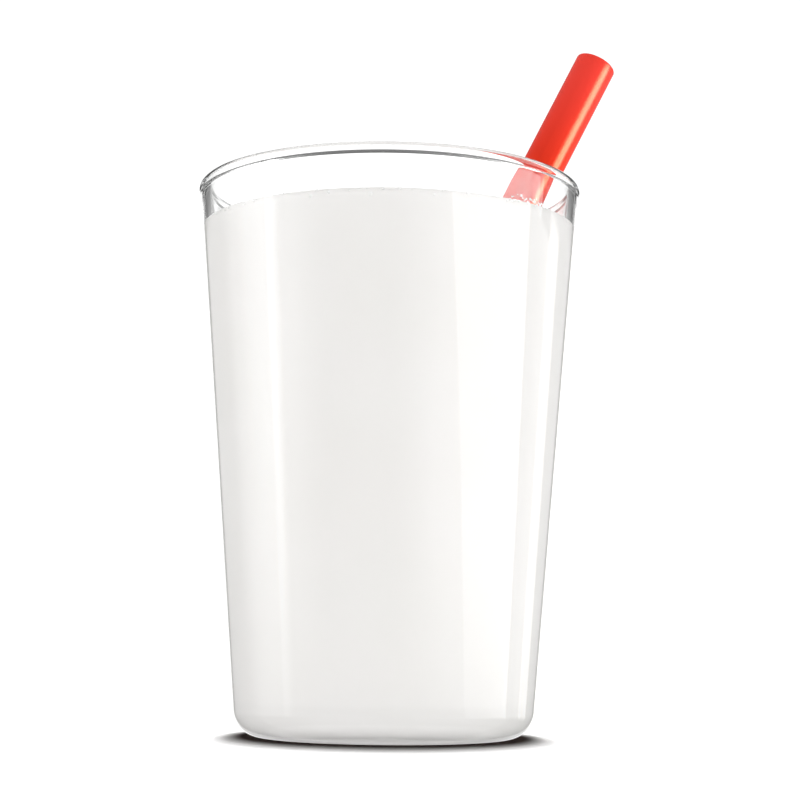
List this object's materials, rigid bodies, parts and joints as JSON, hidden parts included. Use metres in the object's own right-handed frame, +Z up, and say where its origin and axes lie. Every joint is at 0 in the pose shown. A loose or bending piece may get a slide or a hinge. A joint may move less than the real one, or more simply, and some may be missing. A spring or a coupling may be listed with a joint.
{
  "type": "glass of milk",
  "caption": "Clear tapered tumbler with a rolled rim, filled with milk to just under the rim, with a red drinking straw leaning in it.",
  "frame": {"origin": "centre of the flat ring that the glass stands on, on the table", "axes": "+Z up along the axis of the glass; the front is -Y, and the straw leans towards +X and a little towards +Y"},
  "size_m": [0.0789, 0.07, 0.1315],
  "materials": {
    "clear_glass": "clear colourless glass, smooth and polished, with a fire-polished rolled rim",
    "milk": "opaque white milk with a wet, level surface and a few small bubbles at its edge",
    "red_straw": "glossy bright red plastic, even in colour, slightly see-through to strong light"
  },
  "bodies": {
    "root": {"glass": "clear_glass", "milk": "milk", "straw": "red_straw"}
  },
  "joints": []
}
